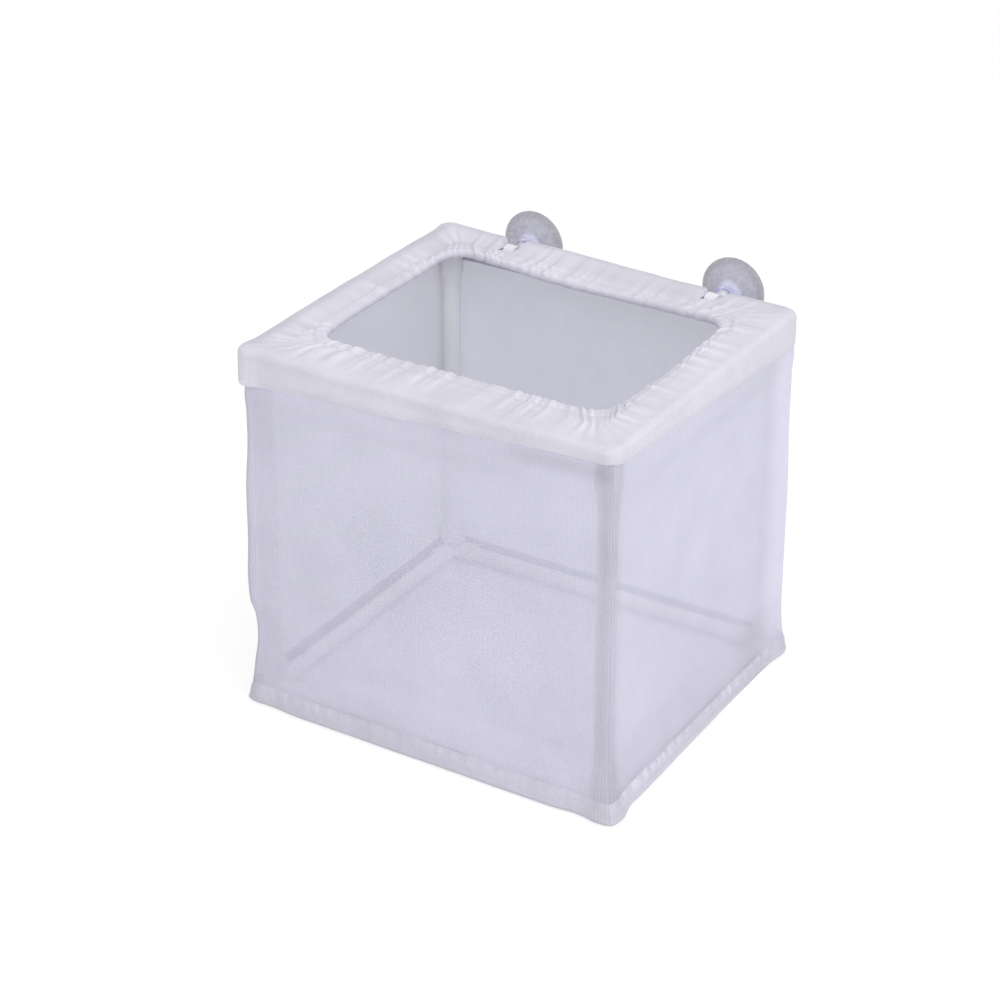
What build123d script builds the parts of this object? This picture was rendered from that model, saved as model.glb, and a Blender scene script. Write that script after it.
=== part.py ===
from build123d import *
from math import acos, asin, atan2, cos, hypot, radians, sin
import os

# Fish breeding net: a mesh bag drawn over a plug-together rod frame, hung by two suction cups.
# Millimetres. X runs along the front, +Y points at the aquarium glass, +Z is up.
# The origin is the middle of the bag's underside.

# Net bag, outside sizes over its bulging corners
net_length = 168.0
net_width = 148.8
net_height = 159.0
net_thickness = 0.5
net_gap = 0.25            # between the net and the frame inside it

# Frame
rod_diameter = 6.5
rod_end_chamfer = 0.6
sleeve_diameter = 9.0     # outside of a connector's sleeves and hub
sleeve_length = 12.5      # from the meeting point of the rod axes to the sleeve's mouth
sleeve_relief = 0.35      # the sleeve is thinner than its rim by this much
sleeve_rim = 1.8          # length of the thicker rim at the mouth
socket_clearance = 0.05   # radial, rod in sleeve
socket_floor = 4.2        # from the meeting point of the axes to the end of a rod
crotch_fillet = 1.2       # between the sleeves of a connector

# Collar round the opening
collar_end_margin = 20.0  # width of the collar at each end of the opening
collar_side_margin = 25.9  # width of the collar in front of and behind the opening
opening_corner = 9.0
opening_bow = 2.5         # how far each end of the opening bulges
collar_fold = 3.5         # outside radius where the collar folds over the top edge
lip_front_left = 15.0     # height of the collar's lip at each corner
lip_front_right = 6.0
lip_back_right = 16.0
lip_back_left = 15.0
lip_overlap = 2.5         # how far the walls reach up inside the lip
elastic_diameter = 1.8
elastic_clearance = 0.2   # radial, elastic in its hem
hem_wall = 0.7            # gathered cloth round the elastic
hem_drop = 0.15           # the hem's top lies this far under the collar's face

# Bottom binding and the walls between the corners
binding_height = 9.0
flare_height = 7.5        # height over which a wall draws in from its connectors to its posts
flare_margin = 0.6        # the wall stays wide this far past a sleeve's mouth

# Snap clips on the top back rod
clip_spacing = 95.0
clip_width = 5.0
clip_clearance = 0.08     # radial, clip on rod
clip_wall = 1.75
clip_mouth_angle = 110.0  # the part of the circle that is open
clip_stem_diameter = 4.4
clip_flange_diameter = 6.2
clip_flange_thickness = 0.5
clip_head_diameter = 5.7
clip_head_length = 2.4
clip_head_land = 0.8      # straight part of the head, before it tapers
clip_tip_diameter = 3.1
clip_reach = 9.2          # from the rod's axis to the mouth of the cup's neck

# Where the collar is drawn down to the rod for a clip
dip_flat = 7.0            # width of the drawn-down part
dip_ramp = 5.0            # width of the slope on each side of it
dip_start = 14.4          # how far in from the back edge the slope begins
dip_drop = 11.5           # how far below the top it ends
slit_clearance = 0.4      # on each side of the clip
slit_radius = 8.0

# Suction cups
cup_diameter = 28.0
cup_depth = 2.9           # hollow of the rim face
cup_rim_thickness = 0.9
cup_shoulder = 0.7        # width and depth of the slope from the bell down to the rim
neck_diameter = 9.5
neck_length = 3.9
neck_straight = 2.1       # part of the neck before it narrows to its waist
neck_chamfer = 0.5
neck_waist = 8.2
bell_middle_rise = 1.6    # from the waist to the middle of the bell's curve
bell_middle_diameter = 16.2
cup_height = 9.2          # from the neck's mouth to the rim plane
plug_clearance = 0.12     # radial, clip stem in the neck
plug_end_clearance = 0.36 # beyond the clip's head
plug_mouth = 1.9          # depth of the narrow part of the neck's bore

os.makedirs("parts", exist_ok=True)

cut_margin = 1.0          # how far a cutting shape reaches past what it cuts
half_length = net_length / 2
half_width = net_width / 2
opening_length = net_length - 2 * collar_end_margin
opening_width = net_width - 2 * collar_side_margin
rod_radius = rod_diameter / 2
sleeve_radius = sleeve_diameter / 2
skin = sleeve_radius + net_gap + 2 * net_thickness
axis_x = half_length - skin
axis_y = half_width - skin
axis_top = net_height - net_thickness - net_gap - sleeve_radius
axis_bottom = net_thickness + net_gap + sleeve_radius
post_inset = sleeve_radius - rod_radius
collar_corner = skin
wall_corner = collar_corner - net_thickness
hem_radius = elastic_diameter / 2 + elastic_clearance + hem_wall
lip_heights = {
    ("front", "left"): lip_front_left,
    ("front", "right"): lip_front_right,
    ("back", "right"): lip_back_right,
    ("back", "left"): lip_back_left,
}
side_signs = {"left": -1, "right": 1}
depth_signs = {"front": -1, "back": 1}
level_heights = {"bottom": axis_bottom, "top": axis_top}
sides = ["front", "back", "left", "right"]


def finish(piece, name):
    """Label a finished piece and write it to its own file."""
    piece.label = name
    export_step(piece, f"parts/{name}.step")


def corners_of(side):
    """The two corners at the ends of a side, in the direction of +X or +Y."""
    if side in depth_signs:
        return [(side, "left"), (side, "right")]
    return [("front", side), ("back", side)]


def side_region(side):
    """Outline, seen from above, of the part of the bag that belongs to one side."""
    # Each mitred seam runs on a line from the bag's corner through the opening's, past both of them
    outside, inside = -0.3, 1.7
    points = []
    for corner, share in zip(corners_of(side) + corners_of(side)[::-1], (outside, outside, inside, inside)):
        x = side_signs[corner[1]] * (half_length - share * collar_end_margin)
        y = depth_signs[corner[0]] * (half_width - share * collar_side_margin)
        points.append((x, y))
    return points


def side_plane(side):
    """Upright plane through the middle of the bag, along a side."""
    return Plane.XZ if side in depth_signs else Plane.YZ


def side_band(side, low_start, low_end, high_start, high_end):
    """Outline, seen square on, of a band along a side with sloping edges."""
    reach = (half_length if side in depth_signs else half_width) + cut_margin
    return [(-reach, low_start), (reach, low_end), (reach, high_end), (-reach, high_start)]


# Connector: one three-way corner, moulded in one piece, with its sleeves along +X, +Y and +Z
body_radius = sleeve_radius - sleeve_relief
bore_radius = rod_radius + socket_clearance
sleeve_ways = [Vector(1, 0, 0), Vector(0, 1, 0), Vector(0, 0, 1)]
with BuildPart() as three_way:
    Sphere(body_radius)
    for way in sleeve_ways:
        with BuildSketch(Plane(origin=(0, 0, 0), z_dir=way)):
            Circle(body_radius)
        extrude(amount=sleeve_length - sleeve_rim)
    crotches = three_way.edges().filter_by(GeomType.ELLIPSE)
    fillet(crotches, crotch_fillet)
    rims = []
    for way in sleeve_ways:
        with BuildSketch(Plane(origin=way * (sleeve_length - sleeve_rim), z_dir=way)):
            Circle(sleeve_radius)
        extrude(amount=sleeve_rim)
        rims += three_way.edges(Select.LAST).filter_by(GeomType.CIRCLE).group_by(SortBy.RADIUS)[-1]
    chamfer(rims, sleeve_relief / 2)
    for way in sleeve_ways:
        with BuildSketch(Plane(origin=way * socket_floor, z_dir=way)):
            Circle(bore_radius)
        extrude(amount=sleeve_length, mode=Mode.SUBTRACT)

# One connector at each corner of the frame, turned so that its sleeves point inwards
rod_ends = {}
for level, z in level_heights.items():
    up = 1 if level == "bottom" else -1
    for depth, y_sign in depth_signs.items():
        for hand, x_sign in side_signs.items():
            corner = Vector(x_sign * axis_x, y_sign * axis_y, z)
            rod_ends[level, depth, hand] = corner
            # The first sleeve lies along X or Y, whichever leaves the second one pointing inwards too
            first_sleeve = Vector(-x_sign, 0, 0) if x_sign * y_sign * up == 1 else Vector(0, -y_sign, 0)
            with BuildPart() as connector:
                with Locations(Plane(origin=corner, x_dir=first_sleeve, z_dir=(0, 0, up))):
                    add(three_way.part)
            finish(connector.part, f"connector_{level}_{depth}_{hand}")

# Rods: round, pushed into the connectors' sockets at both ends
rods = {}
for depth in depth_signs:
    for hand in side_signs:
        rods[f"post_{depth}_{hand}"] = [("bottom", depth, hand), ("top", depth, hand)]
for level in level_heights:
    for depth in depth_signs:
        rods[f"rod_{level}_{depth}"] = [(level, depth, "left"), (level, depth, "right")]
    for hand in side_signs:
        rods[f"rod_{level}_{hand}"] = [(level, "front", hand), (level, "back", hand)]
for name, (start_key, end_key) in rods.items():
    start, end = rod_ends[start_key], rod_ends[end_key]
    way = (end - start).normalized()
    with BuildPart() as rod:
        with BuildSketch(Plane(origin=start + way * socket_floor, z_dir=way)):
            Circle(rod_radius)
        extrude(amount=(end - start).length - 2 * socket_floor)
        chamfer(rod.edges().filter_by(GeomType.CIRCLE), rod_end_chamfer)
    finish(rod.part, name)

# Net walls: one tube of mesh, wide over the connectors and drawn in to the posts, cut at its corner seams
flare_bottom = axis_bottom + sleeve_length + flare_margin
flare_top = axis_top - sleeve_length - flare_margin
wall_top = net_height - collar_fold
wall_levels = [
    (net_thickness, 0),
    (flare_bottom, 0),
    (flare_bottom + flare_height, post_inset),
    (flare_top - flare_height, post_inset),
    (flare_top, 0),
    (wall_top, 0),
]
with BuildPart() as tube:
    for wall_face, mode in ((0, Mode.ADD), (net_thickness, Mode.SUBTRACT)):
        for (low, low_inset), (high, high_inset) in zip(wall_levels, wall_levels[1:]):
            for height, inset in ((low, low_inset), (high, high_inset)):
                shrink = net_thickness + inset + wall_face
                with BuildSketch(Plane.XY.offset(height)):
                    RectangleRounded(net_length - 2 * shrink, net_width - 2 * shrink, collar_corner - shrink)
            loft(ruled=True, mode=mode)
for side in sides:
    start_lip, end_lip = (lip_heights[corner] for corner in corners_of(side))
    start_top = min(wall_top, net_height - start_lip + lip_overlap)
    end_top = min(wall_top, net_height - end_lip + lip_overlap)
    with BuildPart() as wall:
        add(tube.part)
        with BuildSketch(Plane.XY):
            Polygon(*side_region(side), align=None)
        extrude(amount=net_height, mode=Mode.INTERSECT)
        with BuildSketch(side_plane(side)):
            Polygon(*side_band(side, 0, 0, start_top, end_top), align=None)
        extrude(amount=net_length, both=True, mode=Mode.INTERSECT)
    finish(wall.part, f"net_wall_{side}")

# Net floor: a flat panel that the walls stand on
with BuildPart() as floor:
    with BuildSketch(Plane.XY):
        RectangleRounded(net_length - 2 * net_thickness, net_width - 2 * net_thickness, wall_corner)
    extrude(amount=net_thickness)
finish(floor.part, "net_floor")

# Bottom binding: a stitched band round the outside of the bottom edge
for side in sides:
    with BuildPart() as hem:
        with BuildSketch(Plane.XY):
            RectangleRounded(net_length, net_width, collar_corner)
            RectangleRounded(
                net_length - 2 * net_thickness,
                net_width - 2 * net_thickness,
                wall_corner,
                mode=Mode.SUBTRACT,
            )
        extrude(amount=binding_height)
        with BuildSketch(Plane.XY):
            Polygon(*side_region(side), align=None)
        extrude(amount=binding_height, mode=Mode.INTERSECT)
    finish(hem.part, f"hem_{side}")

# The line of the elastic round the opening: straight long sides, bowed ends, rounded corners
hem_height = net_height - hem_drop - hem_radius
with BuildSketch(Plane.XY.offset(hem_height)) as mouth_outline:
    mouth_x = opening_length / 2 + hem_radius
    mouth_y = opening_width / 2 + hem_radius
    with BuildLine():
        Line((-mouth_x, -mouth_y), (mouth_x, -mouth_y))
        ThreePointArc((mouth_x, -mouth_y), (mouth_x + opening_bow, 0), (mouth_x, mouth_y))
        Line((mouth_x, mouth_y), (-mouth_x, mouth_y))
        ThreePointArc((-mouth_x, mouth_y), (-mouth_x - opening_bow, 0), (-mouth_x, -mouth_y))
    make_face()
    fillet(mouth_outline.vertices(), opening_corner + hem_radius)
mouth_line = mouth_outline.sketch.face().outer_wire()
mouth_section = Plane(origin=mouth_line @ 0, z_dir=mouth_line % 0)

# Elastic: one closed loop inside the hem
with BuildPart() as elastic:
    with BuildSketch(mouth_section):
        Circle(elastic_diameter / 2)
    sweep(path=mouth_line)
finish(elastic.part, "mouth_elastic")

# Collar: a cap of denser mesh with a lip outside the walls and a hem round the opening
lip_floor = net_height - max(lip_heights.values()) - cut_margin
with BuildPart() as cap:
    with BuildSketch(Plane.XY.offset(lip_floor)):
        RectangleRounded(net_length, net_width, collar_corner)
    extrude(amount=net_height - lip_floor)
    fillet(cap.faces().sort_by(Axis.Z)[-1].edges(), collar_fold)
    offset(amount=-net_thickness, openings=cap.faces().sort_by(Axis.Z)[0])
    with BuildSketch(Plane.XY.offset(lip_floor)):
        add(mouth_outline.face())
    extrude(amount=net_height, mode=Mode.SUBTRACT)
    with BuildSketch(mouth_section):
        Circle(hem_radius)
    sweep(path=mouth_line)
    with BuildSketch(mouth_section):
        Circle(hem_radius - hem_wall)
    sweep(path=mouth_line, mode=Mode.SUBTRACT)


def touch_point(point, radius, turn):
    """Where a line from a point touches a circle round the top back rod's axis."""
    dy, dz = point[0] - axis_y, point[1] - axis_top
    angle = atan2(dz, dy) + turn * acos(radius / hypot(dy, dz))
    return (axis_y + radius * cos(angle), axis_top + radius * sin(angle))


def fold_outline(layer, drawn_down):
    """Points of the collar's back fold, at a depth below its outer face: two lines and an arc."""
    start = (half_width - dip_start, net_height - layer)
    end = (half_width - layer, net_height - dip_drop)
    if drawn_down:
        radius = rod_radius + net_gap + net_thickness - layer
        first, last = touch_point(start, radius, -1), touch_point(end, radius, 1)
        centre = (axis_y, axis_top)
    else:
        radius = collar_fold - layer
        centre = (half_width - collar_fold, net_height - collar_fold)
        first, last = (centre[0], centre[1] + radius), (centre[0] + radius, centre[1])
    middle_angle = (atan2(first[1] - centre[1], first[0] - centre[0])
                    + atan2(last[1] - centre[1], last[0] - centre[0])) / 2
    middle = (centre[0] + radius * cos(middle_angle), centre[1] + radius * sin(middle_angle))
    return start, first, middle, last, end


def fold_section(x, drawn_down):
    """The face that cuts the collar's back fold square to X."""
    outer = fold_outline(0, drawn_down)
    inner = fold_outline(net_thickness, drawn_down)
    with BuildSketch(Plane.YZ.offset(x)) as section:
        with BuildLine():
            Line(outer[0], outer[1])
            ThreePointArc(*outer[1:4])
            Line(outer[3], outer[4])
            Line(outer[4], inner[4])
            Line(inner[4], inner[3])
            ThreePointArc(*inner[3:0:-1])
            Line(inner[1], inner[0])
            Line(inner[0], outer[0])
        make_face()
    return section.sketch.face()


clip_places = {hand: sign * clip_spacing / 2 for hand, sign in side_signs.items()}
for side in sides:
    start_lip, end_lip = (net_height - lip_heights[corner] for corner in corners_of(side))
    with BuildPart() as collar:
        add(cap.part)
        with BuildSketch(Plane.XY.offset(lip_floor)):
            Polygon(*side_region(side), align=None)
        extrude(amount=net_height, mode=Mode.INTERSECT)
        with BuildSketch(side_plane(side)):
            above = net_height + cut_margin
            Polygon(*side_band(side, start_lip, end_lip, above, above), align=None)
        extrude(amount=net_length, both=True, mode=Mode.INTERSECT)
        if side == "back":
            for place in clip_places.values():
                # Draw the fold down to the rod, and slit it for the clip
                with BuildSketch(Plane.YZ.offset(place - dip_flat / 2 - dip_ramp)):
                    with Locations((half_width - dip_start, net_height + cut_margin)):
                        Rectangle(dip_start + cut_margin, dip_drop + cut_margin, align=(Align.MIN, Align.MAX))
                extrude(amount=dip_flat + 2 * dip_ramp, mode=Mode.SUBTRACT)
                for toward in (-1, 1):
                    plain = fold_section(place + toward * (dip_flat / 2 + dip_ramp), False)
                    drawn = fold_section(place + toward * dip_flat / 2, True)
                    loft(sections=[plain, drawn], ruled=True)
                extrude(fold_section(place - dip_flat / 2, True), amount=dip_flat)
                with BuildSketch(Plane.YZ.offset(place - clip_width / 2 - slit_clearance)):
                    with Locations((axis_y, axis_top)):
                        Circle(slit_radius)
                extrude(amount=clip_width + 2 * slit_clearance, mode=Mode.SUBTRACT)
    finish(collar.part, f"collar_{side}")

# Snap clips: a springy ring open towards the bag, with a stem that plugs into the cup
clip_bore = rod_radius + clip_clearance
clip_outer = clip_bore + clip_wall
clip_middle = (clip_bore + clip_outer) / 2
stem_radius = clip_stem_diameter / 2
head_start = clip_reach + plug_mouth + plug_clearance
for hand, place in clip_places.items():
    with BuildPart() as clip:
        with BuildSketch(Plane.YZ.offset(place - clip_width / 2)):
            with Locations((axis_y, axis_top)):
                Circle(clip_outer)
                Circle(clip_bore, mode=Mode.SUBTRACT)
                with BuildLine():
                    reach = 2 * clip_outer
                    low = radians(180 - clip_mouth_angle / 2)
                    Polyline(
                        (0, 0),
                        (reach * cos(low), reach * sin(low)),
                        (-2 * reach, 0),
                        (reach * cos(low), -reach * sin(low)),
                        close=True,
                    )
                make_face(mode=Mode.SUBTRACT)
            for end in (-1, 1):
                tip = radians(180 + end * clip_mouth_angle / 2)
                with Locations((axis_y + clip_middle * cos(tip), axis_top + clip_middle * sin(tip))):
                    Circle(clip_wall / 2)
        extrude(amount=clip_width)
        with BuildSketch(Plane(origin=(place, axis_y, axis_top), x_dir=(0, 1, 0), z_dir=(1, 0, 0))):
            with BuildLine():
                Polyline(
                    (clip_middle, 0),
                    (clip_middle, stem_radius),
                    (clip_reach - clip_flange_thickness, stem_radius),
                    (clip_reach - clip_flange_thickness, clip_flange_diameter / 2),
                    (clip_reach - plug_clearance, clip_flange_diameter / 2),
                    (clip_reach - plug_clearance, stem_radius),
                    (head_start, stem_radius),
                    (head_start, clip_head_diameter / 2),
                    (head_start + clip_head_land, clip_head_diameter / 2),
                    (head_start + clip_head_length, clip_tip_diameter / 2),
                    (head_start + clip_head_length, 0),
                    close=True,
                )
            make_face()
        revolve(axis=Axis((place, axis_y, axis_top), (0, 1, 0)))
    finish(clip.part, f"clip_{hand}")

# Suction cups: a soft bell with a hollow neck that holds the clip's head
neck_radius = neck_diameter / 2
cup_radius = cup_diameter / 2
bore_mouth = stem_radius + plug_clearance
bore_pocket = clip_head_diameter / 2 + plug_clearance
pocket_end = plug_mouth + clip_head_length + plug_end_clearance
shoulder = (cup_height - cup_rim_thickness - cup_shoulder, cup_radius - cup_shoulder)
# The hollow face is part of a sphere centred on the cup's axis
dish_radius = (cup_radius**2 + cup_depth**2) / (2 * cup_depth)
dish_centre = cup_height - cup_depth + dish_radius
dish_half_angle = asin(cup_radius / dish_radius) / 2
dish_middle = (dish_centre - dish_radius * cos(dish_half_angle), dish_radius * sin(dish_half_angle))
for hand, place in clip_places.items():
    neck_origin = (place, axis_y + clip_reach, axis_top)
    with BuildPart() as cup:
        with BuildSketch(Plane(origin=neck_origin, x_dir=(0, 1, 0), z_dir=(1, 0, 0))):
            with BuildLine():
                Polyline(
                    (pocket_end, 0),
                    (pocket_end, bore_pocket),
                    (plug_mouth, bore_pocket),
                    (plug_mouth, bore_mouth),
                    (0, bore_mouth),
                    (0, neck_radius - neck_chamfer),
                    (neck_chamfer, neck_radius),
                    (neck_straight, neck_radius),
                    (neck_length, neck_waist / 2),
                )
                ThreePointArc(
                    (neck_length, neck_waist / 2),
                    (neck_length + bell_middle_rise, bell_middle_diameter / 2),
                    shoulder,
                )
                Polyline(
                    shoulder,
                    (cup_height - cup_rim_thickness, cup_radius),
                    (cup_height, cup_radius),
                )
                ThreePointArc((cup_height, cup_radius), dish_middle, (cup_height - cup_depth, 0))
                Line((cup_height - cup_depth, 0), (pocket_end, 0))
            make_face()
        revolve(axis=Axis(neck_origin, (0, 1, 0)))
    finish(cup.part, f"suction_cup_{hand}")
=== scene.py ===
import math

import bmesh
import bpy
from bpy.props import FloatProperty, FloatVectorProperty, IntProperty
from mathutils import Matrix, Vector, noise


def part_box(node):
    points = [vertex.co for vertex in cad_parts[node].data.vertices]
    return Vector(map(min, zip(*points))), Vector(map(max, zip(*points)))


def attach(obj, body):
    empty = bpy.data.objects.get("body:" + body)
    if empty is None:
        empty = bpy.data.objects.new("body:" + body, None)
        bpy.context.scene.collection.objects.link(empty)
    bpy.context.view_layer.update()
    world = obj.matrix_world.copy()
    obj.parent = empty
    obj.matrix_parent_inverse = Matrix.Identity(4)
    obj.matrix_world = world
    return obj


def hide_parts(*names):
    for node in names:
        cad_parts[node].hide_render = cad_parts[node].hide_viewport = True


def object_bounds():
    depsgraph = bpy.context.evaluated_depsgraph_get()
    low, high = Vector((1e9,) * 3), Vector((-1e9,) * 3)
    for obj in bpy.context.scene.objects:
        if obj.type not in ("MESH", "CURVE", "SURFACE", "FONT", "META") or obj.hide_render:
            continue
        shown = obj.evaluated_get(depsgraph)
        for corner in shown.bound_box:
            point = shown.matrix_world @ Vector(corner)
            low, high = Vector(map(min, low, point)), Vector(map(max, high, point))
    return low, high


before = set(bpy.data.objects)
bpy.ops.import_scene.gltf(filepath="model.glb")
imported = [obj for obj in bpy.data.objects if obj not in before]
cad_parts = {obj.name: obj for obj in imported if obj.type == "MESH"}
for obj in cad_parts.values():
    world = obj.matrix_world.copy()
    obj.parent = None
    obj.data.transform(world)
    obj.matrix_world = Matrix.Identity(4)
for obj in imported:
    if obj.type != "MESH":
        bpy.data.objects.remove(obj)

# A fish breeding net: a bag of fine white mesh drawn over a plug-together rod frame, with a gathered
# collar round its mouth and two suction cups on snap clips. Metres, +Y towards the aquarium glass.

bl_info = {
    "name": "Fish Breeding Net",
    "version": (1, 0, 0),
    "blender": (4, 5, 0),
    "location": "View3D > Sidebar > Breeding Net",
    "description": "Dresses the breeding net's frame with its mesh bag, collar, seams and finishes",
    "category": "Add Mesh",
}

CAD_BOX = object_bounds()
MM = 0.001
SIDES = ("front", "right", "back", "left")
BACK_ROD = sum(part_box("rod_top_back"), Vector()) / 2
CLIPS = [sum(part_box(name), Vector()).x / 2 for name in ("clip_left", "clip_right")]
BAG = Vector((CAD_BOX[1][0], -CAD_BOX[0][1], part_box("collar_front")[1].z))


def linear(code):
    """An sRGB hex colour as the linear values that shaders take."""
    levels = [int(code[at:at + 2], 16) / 255 for at in (0, 2, 4)]
    return [c / 12.92 if c <= 0.04045 else ((c + 0.055) / 1.055) ** 2.4 for c in levels]


def length(name, description, default):
    """A size property, in metres."""
    return FloatProperty(name=name, description=description, default=default, unit="LENGTH", precision=5)


def angle(name, description, degrees):
    """An angle property, given in degrees."""
    return FloatProperty(name=name, description=description, default=math.radians(degrees), subtype="ANGLE")


def power(name, description, default):
    """A lamp's power."""
    return FloatProperty(name=name, description=description, default=default, unit="POWER", min=0)


def colour(name, description, code):
    """A colour property with an sRGB hex default."""
    return FloatVectorProperty(name=name, description=description, default=linear(code),
                               subtype="COLOR", min=0, max=1)


class BagSizes(bpy.types.PropertyGroup):
    mesh_pitch: length("Mesh pitch", "Distance from thread to thread as drawn", 0.95 * MM)
    wall_inset: length("Wall inset", "Depth of the walls behind the collar's lip", 0.5 * MM)
    draw_in: length("Draw in", "How far the walls draw in between the connectors", 0.2 * MM)
    slack: length("Slack", "How far a wall bows inwards at its middle", 1.6 * MM)
    seam_ridge: length("Seam ridge", "How far the upright seams stand out at the corners", 1.3 * MM)
    hem_flare: length("Hem flare", "How far the bottom edge stands out along the sides", 2.0 * MM)
    corner_radius: length("Corner radius", "Radius of the bag's upright corners", 5.75 * MM)
    sleeve_slack: length("Sleeve slack", "Room between post and sleeve, towards the inside", 1.3 * MM)
    binding_height: length("Binding height", "Height of the band sewn round the bottom edge", 9 * MM)
    stitch_pitch: length("Stitch pitch", "Distance from stitch to stitch along the binding", 7.6 * MM)
    thread_radius: length("Thread radius", "Radius of the sewing thread", 0.24 * MM)


class CollarSizes(bpy.types.PropertyGroup):
    fold_radius: length("Fold radius", "Radius of the fold over the top rods", 2.8 * MM)
    hem_radius: length("Hem radius", "Radius of the hem round the elastic", 1.8 * MM)
    mouth_length: length("Mouth length", "Length of the opening inside the hem", 128 * MM)
    mouth_width: length("Mouth width", "Width of the opening inside the hem", 97 * MM)
    mouth_corner: length("Mouth corner", "Radius of the opening's corners", 9 * MM)
    mouth_bow: length("Mouth bow", "How far each end of the opening bulges", 2.5 * MM)
    gather_pitch: length("Gather pitch", "Distance from pucker to pucker", 8.6 * MM)
    gather_height: length("Gather height", "Height of a pucker beside the hem", 2.0 * MM)
    gather_reach: length("Gather reach", "How far a pucker runs out from the hem", 16 * MM)
    corner_rise: length("Corner rise", "How far the hem rises at the opening's back left corner", 2.6 * MM)
    crown: length("Crown", "How far the collar stands up over the left and back rods", 1.9 * MM)
    columns: IntProperty(name="Columns", description="Faces round the collar", default=1240, min=200)


class Finishes(bpy.types.PropertyGroup):
    net: colour("Net", "Fine nylon mesh of the bag", "DFDDF0")
    # The shaded net and the back sleeves are copies of the cloth painted cooler, as cloth in shade
    shaded_net: colour("Shaded net", "The same mesh at the back and left, a little cooler", "DBDCF2")
    collar: colour("Collar", "Denser mesh of the collar", "E2E0EC")
    sleeve: colour("Front sleeves", "Mesh round the front posts", "F9F8FC")
    shaded_sleeve: colour("Back sleeves", "Doubled mesh round the back posts, cooler too", "F0F4FF")
    binding: colour("Binding", "Tape round the bottom edge", "E3E1EF")
    thread: colour("Thread", "Sewing thread", "DEDDEA")
    rod: colour("Rods", "Polypropylene rods", "FAFAFB")
    connector: colour("Connectors", "Polypropylene connectors", "F8F8FA")
    clip: colour("Clips", "Polypropylene clips", "EDECF3")
    cup: colour("Cups", "Clear vinyl cups", "9A98B2")
    elastic: colour("Elastic", "Rubber core of the mouth", "EDEDEE")


class StudioSettings(bpy.types.PropertyGroup):
    distance: length("Camera distance", "From the camera to the point it looks at", 1.105)
    azimuth: angle("Azimuth", "Camera to the right of the front", 31.7)
    elevation: angle("Elevation", "Camera above level", 28.11)
    focal_length: FloatProperty(name="Focal length", description="Lens on a 36 mm sensor",
                                default=97.92, subtype="DISTANCE_CAMERA")
    sky: FloatProperty(name="Sky", description="Strength of the even light", default=0.68, min=0)
    key: power("Key lamp", "Power of the lamp at the right", 7.8)
    fill: power("Fill lamp", "Power of the lamp in front", 2.0)
    near: power("Near lamp", "Power of the lamp behind the camera", 3.0)
    top: power("Top lamp", "Power of the lamp overhead", 2.0)


# Shapes

# The spacing of matched_run's runs at a corner, against their mean
END_SPACING = 0.45


def half_span(side, half, radius):
    """Length along half of a side of a rounded rectangle, to the middle of its corner."""
    along = half.x if side in ("front", "back") else half.y
    return along - radius + radius * math.pi / 4


def side_point(side, half, radius, run, bow=0.0):
    """The point of a rounded rectangle at a run from the middle of one side, going anticlockwise."""
    lengthwise = side in ("front", "back")
    along, across = (half.x, half.y) if lengthwise else (half.y, half.x)
    straight = along - radius
    over = max(abs(run) - straight, 0) / radius
    a = math.copysign(min(abs(run), straight) + radius * math.sin(over), run)
    b = across - radius + radius * math.cos(over)
    if bow and not lengthwise:
        b += bow * (1 - (run / half_span(side, half, radius)) ** 2)
    turn = SIDES.index(side)
    return [Vector((a, -b, 0)), Vector((b, a, 0)), Vector((-a, b, 0)), Vector((-b, -a, 0))][turn]


def outward(side, half, radius, run):
    """The direction square to the outline at that run, away from the bag."""
    grown = Vector((half.x + MM, half.y + MM, 0))
    straight = (half.x if side in ("front", "back") else half.y) - radius
    over = abs(run) - straight
    along = run if over <= 0 else math.copysign(straight + over * (radius + MM) / radius, run)
    return (side_point(side, grown, radius + MM, along) - side_point(side, half, radius, run)).normalized()


def along_sides(turn, spans):
    """The side, the run from its middle and half its length, at a share of the turn round the bag."""
    if turn >= 1:
        return SIDES[-1], spans[-1], spans[-1]
    along = turn * 2 * sum(spans)
    for side, span in zip(SIDES, spans):
        if along <= 2 * span + 1e-9:
            break
        along -= 2 * span
    return side, along - span, span


def matched_run(run, outer, inner, kept):
    """A run along an outer outline taken to an inner one: unchanged up to kept from the middle, and closer
    towards the corners."""
    if abs(run) <= kept:
        return run
    t = (abs(run) - kept) / (outer - kept)
    start = (outer - kept) / (inner - kept)
    share = start * t + (3 - 2 * start - END_SPACING) * t**2 + (start + END_SPACING - 2) * t**3
    return math.copysign(kept + (inner - kept) * share, run)


def ease(value, start, end):
    """A smooth step from 0 where the value is start to 1 where it is end."""
    share = min(max((value - start) / (end - start), 0.0), 1.0)
    return share * share * (3 - 2 * share)


def ramp(value, start, end):
    """The same smooth step for a length, with start and end in millimetres."""
    return ease(value, start * MM, end * MM)


def waver(x, y, z):
    """Smooth noise between -1 and 1."""
    return noise.noise(Vector((x, y, z)))


def ripple(turn, total, spot, pitch, seed):
    """An uneven gather between 0 and 1, with rounded ridges and narrow valleys, that meets itself after
    one turn round the bag. spot is the place beside it, which makes it uneven."""
    count = round(total / pitch)
    drift = 0.9 * noise.noise(spot / (3.1 * pitch) + Vector((0, 0, seed)))
    big = 0.5 + 0.5 * math.sin(2 * math.pi * (count * turn + drift))
    drift = 1.3 * noise.noise(spot / (1.7 * pitch) + Vector((0, 0, seed + 7.7)))
    small = 0.5 + 0.5 * math.sin(2 * math.pi * (round(1.9 * count) * turn + drift))
    strength = 0.72 + noise.noise(spot / (2.3 * pitch) + Vector((0, 0, seed + 2.2)))
    return min(max(strength * (0.62 * big**1.3 + 0.38 * small**1.2), 0.0), 1.0)


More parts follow.
